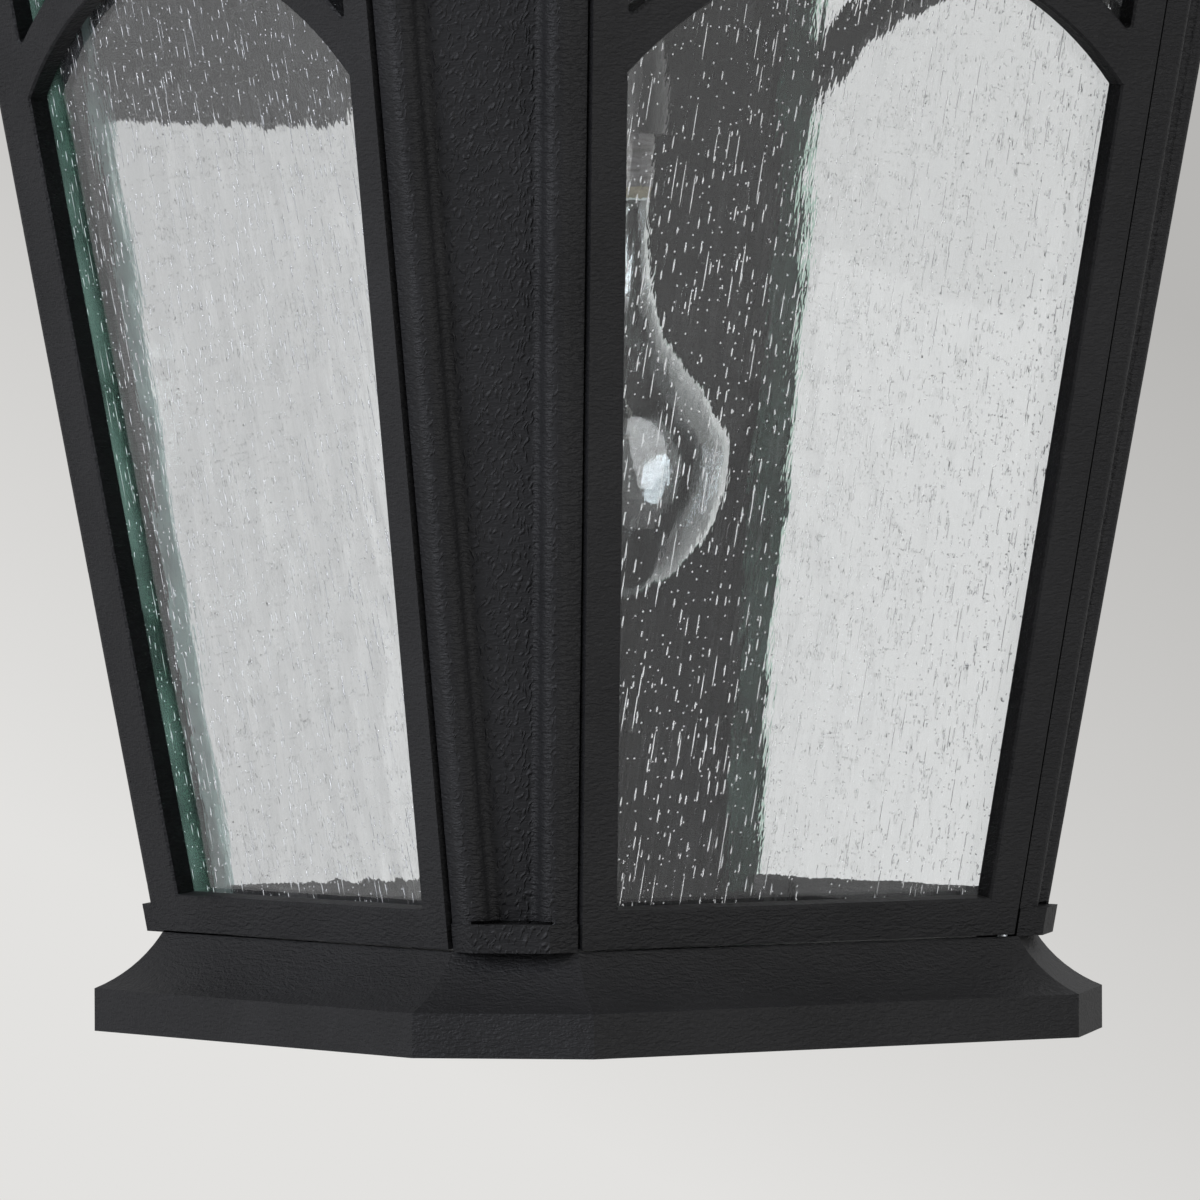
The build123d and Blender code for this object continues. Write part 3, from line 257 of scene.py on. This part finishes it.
def blownGlass(name):
    material = bpy.data.materials.new(name)
    add = startNodes(material)
    thick = patternOf(add, add("TexCoord", out="Object"), bulb["thickMm"])
    bump = add("Bump", {"Height": thick, "Distance": bulb["deep"], "Strength": bulb["strength"]})
    add("OutputMaterial", {"Surface": add("BsdfPrincipled", {
        "Base Color": bulb["colour"], "Roughness": 0.0, "IOR": bulb["ior"], "Transmission Weight": 1.0,
        "Normal": bump})})
    return material


# What the plain finishes share: where the grain turns from hollow to high, and what that does to the gloss.
wear = {"detail": 3.0, "from": 0.35, "to": 0.7, "duller": 0.08, "glossier": 0.06}


def worked(name, finish):
    # a solid finish with a grain, whose hollows have the second colour and are a little duller
    material = bpy.data.materials.new(name)
    add = startNodes(material)
    uneven = patternOf(add, add("TexCoord", out="Object"), finish["grainMm"], wear["detail"])
    share = add("MapRange", {0: uneven, 1: wear["from"], 2: wear["to"]}, interpolation_type="SMOOTHSTEP")
    colour = add("Mix", {0: share, 6: finish["hollow"], 7: finish["colour"]}, 2, data_type="RGBA")
    rough = add("MapRange", {0: share, 3: finish["rough"] + wear["duller"],
                             4: finish["rough"] - wear["glossier"]})
    relief = add("Math", {0: uneven, 1: finish["deepMm"]}, operation="MULTIPLY")
    bump = add("Bump", {"Height": relief, "Distance": mmBump, "Strength": 1.0})
    add("OutputMaterial", {"Surface": add("BsdfPrincipled", {
        "Base Color": colour, "Roughness": rough, "Metallic": finish.get("metal", 0.0), "Normal": bump})})
    return material


# Each finish is keyed by the record's slot. Grain lengths and depths are in mm.
solids = {
    # zinc plate on steel: a cool shine, cloudy where the bath was uneven
    "zinc_steel": {"name": "bright_zinc_plate", "colour": "#c2c5c7", "hollow": "#a9adb2", "rough": 0.34,
                   "metal": 1.0, "grainMm": (1.6, 1.6, 1.6), "deepMm": 0.01},
    # stoved enamel on small steel parts: near black, smoother than the powder coat
    "black_steel": {"name": "stoved_enamel", "colour": "#161617", "hollow": "#121213", "rough": 0.42,
                    "grainMm": (2.0, 2.0, 2.0), "deepMm": 0.02},
    # zinc plate dyed green, which marks the earth screw
    "green_steel": {"name": "green_passivate", "colour": "#3f8a53", "hollow": "#2f7043", "rough": 0.35,
                    "metal": 1.0, "grainMm": (1.5, 1.5, 1.5), "deepMm": 0.01},
    # pressed brass: warm, with light draw lines along its length
    "brass": {"name": "pressed_brass", "colour": "#cfae6c", "hollow": "#b8954f", "rough": 0.3, "metal": 1.0,
              "grainMm": (1.5, 1.5, 4.0), "deepMm": 0.01},
    # rolled aluminium lamp cap: dull grey, ringed by its rolling
    "lamp_metal": {"name": "rolled_aluminium", "colour": "#8f8e8f", "hollow": "#6f6d6b", "rough": 0.42,
                   "metal": 1.0, "grainMm": (8.0, 8.0, 0.8), "deepMm": 0.02},
    # drawn tungsten: dark grey wire
    "tungsten": {"name": "drawn_tungsten", "colour": "#8a8883", "hollow": "#6d6b67", "rough": 0.45,
                 "metal": 1.0, "grainMm": (0.5, 0.5, 0.5), "deepMm": 0.005},
    # cap cement: olive cream, chalky
    "lamp_cement": {"name": "cap_cement", "colour": "#9a957f", "hollow": "#827d69", "rough": 0.8,
                    "grainMm": (0.8, 0.8, 0.8), "deepMm": 0.05},
    # moulded phenolic: dark, faintly mottled by its filler
    "black_resin": {"name": "moulded_phenolic", "colour": "#1d1c1c", "hollow": "#252323", "rough": 0.42,
                    "grainMm": (3.0, 3.0, 3.0), "deepMm": 0.01},
    # pressed steel cap, zinc plated: brushed a little by the press
    "zinc_cap": {"name": "pressed_zinc_cap", "colour": "#b9bcbf", "hollow": "#9da1a5", "rough": 0.36,
                 "metal": 1.0, "grainMm": (2.0, 2.0, 5.0), "deepMm": 0.01},
    # black vitrified insulator under the lamp cap: glassy
    "lamp_insulation": {"name": "vitrified_insulator", "colour": "#26222b", "hollow": "#1c191f",
                        "rough": 0.15, "grainMm": (1.5, 1.5, 1.5), "deepMm": 0.01},
    # closed cell rubber: matt, pitted
    "rubber_seal": {"name": "cell_rubber", "colour": "#1b1b1b", "hollow": "#242424", "rough": 0.85,
                    "grainMm": (0.9, 0.9, 0.9), "deepMm": 0.12},
    # moulded nylon: milky, slightly waxy
    "white_nylon": {"name": "moulded_nylon", "colour": "#e4e3dc", "hollow": "#d5d3ca", "rough": 0.45,
                    "grainMm": (3.0, 3.0, 3.0), "deepMm": 0.01},
}
finishes = {slot: worked(finish["name"], finish) for slot, finish in solids.items()}
finishes["lamp_glass"] = blownGlass("blown_lime_glass")
finishes["black_coat"] = powderCoat("level_powder_coat", coat["frameDeepMm"])
columnCoat = powderCoat("panelled_powder_coat", coat["columnDeepMm"], panels=True)
sideGlass = seededGlass("seeded_glass_sides", True, glows["sides"])
faceGlass = seededGlass("seeded_glass_faces", False, glows["faces"])
paneGlass = {"left_pane": sideGlass, "right_pane": sideGlass,
             "back_pane": faceGlass, "door_pane": faceGlass}

slotOf = {part["node"]: part["material_slot"] for part in frame["record"]["subparts"]}
for name, piece in frame["nodes"].items():
    finish = columnCoat if name.endswith("_column") else paneGlass.get(name) or finishes[slotOf[name]]
    for slot in piece.material_slots:
        slot.material = finish
print("stage: materials made")

# The photograph's view: a long lens from the lantern's front left, level with the middle of the glass.
# Angles are in degrees and lengths in metres; the lens is given by the picture's own pixels.
view = {"turn": 34.486, "rise": 0.268, "roll": 0.222, "distance": 2.20957, "aimUp": 0.1164,
        "focalPx": 9412.47, "framePx": 1200, "centrePx": (596.28, 533.49), "sensorMm": 36.0,
        "near": 0.1, "far": 60}
aim = lanternAxis + Vector((0, 0, view["aimUp"]))


def placeCamera():
    turn, rise, roll = (math.radians(view[key]) for key in ("turn", "rise", "roll"))
    back = Vector((-math.sin(turn) * math.cos(rise), -math.cos(turn) * math.cos(rise), math.sin(rise)))
    right = Vector((math.cos(turn), -math.sin(turn), 0))
    up = back.cross(right)
    half = view["framePx"] / 2
    # the lantern's axis lies off the picture's centre by this much of the focal length
    offX = (half - view["centrePx"][0]) / view["focalPx"]
    offY = (view["centrePx"][1] - half) / view["focalPx"]
    lensRight = right * math.cos(roll) - up * math.sin(roll)
    lensUp = right * math.sin(roll) + up * math.cos(roll)
    ahead = (lensRight * offX + lensUp * offY - back).normalized()
    cameraX = (lensRight - ahead * lensRight.dot(ahead)).normalized()
    cameraY = (-ahead).cross(cameraX)
    camera = bpy.data.objects.new("camera", bpy.data.cameras.new("camera"))
    bpy.context.scene.collection.objects.link(camera)
    turned = Matrix((cameraX, cameraY, -ahead)).transposed().to_4x4()
    camera.matrix_world = Matrix.Translation(aim + back * view["distance"]) @ turned
    camera.data.sensor_width = view["sensorMm"]
    camera.data.lens = view["focalPx"] / view["framePx"] * view["sensorMm"]
    camera.data.clip_start, camera.data.clip_end = view["near"], view["far"]
    bpy.context.scene.camera = camera
    return right, up


toRight, toUp = placeCamera()

# Stage: a pale floor well below the hung lantern, and a pale room that only the camera, gloss and glass
# see. Lengths are in metres, and From and To are dot products of a line of sight with the way to that
# corner, or with the way to the right.
stage = {
    "floorDown": 0.75, "floorR": 3.6, "floorSides": 96, "floor": "#e3e2e0",
    "mottleMm": (400.0, 400.0, 400.0), "mottleDetail": 2.0, "ownLight": 0.55,
    "ambient": "#dfe3ea", "ambientLevel": 0.12,
    # the room darkens towards one upper corner, and a bright window wall lies beyond the picture that way
    "cornerRight": 0.483, "cornerUp": 0.875,
    "pale": "#e3e2e0", "dim": "#b7b6b4", "dimFrom": -0.057, "dimTo": 0.05,
    "window": "#f2f3f5", "windowFrom": 0.25, "windowTo": 0.5,
    # behind the panes the room is lit more towards the right
    "behindLeft": "#d0d0cf", "behindRight": "#eeeeec", "behindFrom": -0.05, "behindTo": 0.03,
}
softboxes = {
    # azimuth and rise from the lantern in degrees, distance and size in metres, power in watts
    "key": {"azimuth": -93, "rise": 16, "distance": 2.0, "size": (0.9, 1.6), "power": 68,
            "colour": "#f3f6ff"},
    "front": {"azimuth": 10, "rise": 12, "distance": 1.5, "size": (0.8, 2.6), "power": 24,
              "colour": "#ffffff"},
    "top": {"azimuth": -10, "rise": 68, "distance": 2.0, "size": (1.4, 1.4), "power": 9,
            "colour": "#fffaf2"},
}


def seenRays(add):
    path = add("LightPath", out=None)
    seen = add("Math", {0: path["Is Camera Ray"], 1: path["Is Glossy Ray"]}, operation="MAXIMUM")
    return add("Math", {0: seen, 1: path["Is Transmission Ray"]}, operation="MAXIMUM")


def makeFloor():
    bpy.ops.mesh.primitive_circle_add(
        vertices=stage["floorSides"], radius=stage["floorR"], fill_type="NGON")
    floor = bpy.context.object
    floor.name = "floor"
    floor.data.transform(Matrix.Translation((0, lanternAxis.y, lanternAxis.z - stage["floorDown"])))
    material = bpy.data.materials.new("pale_paint")
    add = startNodes(material)
    mottle = patternOf(add, add("TexCoord", out="Object"), stage["mottleMm"], stage["mottleDetail"])
    tone = add("Mix", {0: mottle, 6: stage["floor"], 7: stage["pale"]}, 2, data_type="RGBA")
    # part of what the camera, gloss and glass see of the floor is its own paleness, and the rest keeps
    # the shadows
    own = add("Math", {0: seenRays(add), 1: stage["ownLight"]}, operation="MULTIPLY")
    paint = add("BsdfDiffuse", {"Color": tone})
    glow = add("Emission", {"Color": tone})
    both = add("MixShader", {0: own, 1: paint, 2: glow})
    add("OutputMaterial", {"Surface": both})
    floor.data.materials.append(material)


def makeWorld():
    world = bpy.data.worlds.new("studio")
    bpy.context.scene.world = world
    add = startNodes(world)
    way = add("TexCoord", out="Generated")
    corner = toRight * stage["cornerRight"] + toUp * stage["cornerUp"]
    lean = add("VectorMath", {0: way, 1: corner}, "Value", operation="DOT_PRODUCT")
    shade = add("MapRange", {0: lean, 1: stage["dimFrom"], 2: stage["dimTo"]})
    colour = add("Mix", {0: shade, 6: stage["pale"], 7: stage["dim"]}, 2, data_type="RGBA")
    # the panes mirror the window wall, which is out of the picture
    beyond = add("MapRange", {0: lean, 1: stage["windowFrom"], 2: stage["windowTo"]},
                 interpolation_type="SMOOTHSTEP")
    colour = add("Mix", {0: beyond, 6: colour, 7: stage["window"]}, 2, data_type="RGBA")
    aside = add("VectorMath", {0: way, 1: toRight}, "Value", operation="DOT_PRODUCT")
    aside = add("MapRange", {0: aside, 1: stage["behindFrom"], 2: stage["behindTo"]})
    behind = add("Mix", {0: aside, 6: stage["behindLeft"], 7: stage["behindRight"]}, 2, data_type="RGBA")
    through = add("LightPath", out="Is Transmission Ray")
    colour = add("Mix", {0: through, 6: colour, 7: behind}, 2, data_type="RGBA")
    pale = add("Background", {"Color": colour, "Strength": 1.0})
    soft = add("Background", {"Color": stage["ambient"], "Strength": stage["ambientLevel"]})
    add("OutputWorld", {"Surface": add("MixShader", {0: seenRays(add), 1: soft, 2: pale})})


def makeLights():
    for name, box in softboxes.items():
        lamp = bpy.data.lights.new(name, "AREA")
        lamp.shape, lamp.size, lamp.size_y = "ELLIPSE", *box["size"]
        lamp.energy = box["power"]
        lamp.color = linearFromHex(box["colour"])[:3]
        azimuth, rise = math.radians(box["azimuth"]), math.radians(box["rise"])
        level = math.cos(rise)
        way = Vector((math.sin(azimuth) * level, -math.cos(azimuth) * level, math.sin(rise)))
        piece = bpy.data.objects.new(name, lamp)
        piece.location = aim + way * box["distance"]
        piece.rotation_euler = way.to_track_quat("Z", "Y").to_euler()
        bpy.context.scene.collection.objects.link(piece)


makeFloor()
makeWorld()
makeLights()
print("stage: floor, world and lights made")

bpy.context.scene.view_settings.view_transform = "Standard"
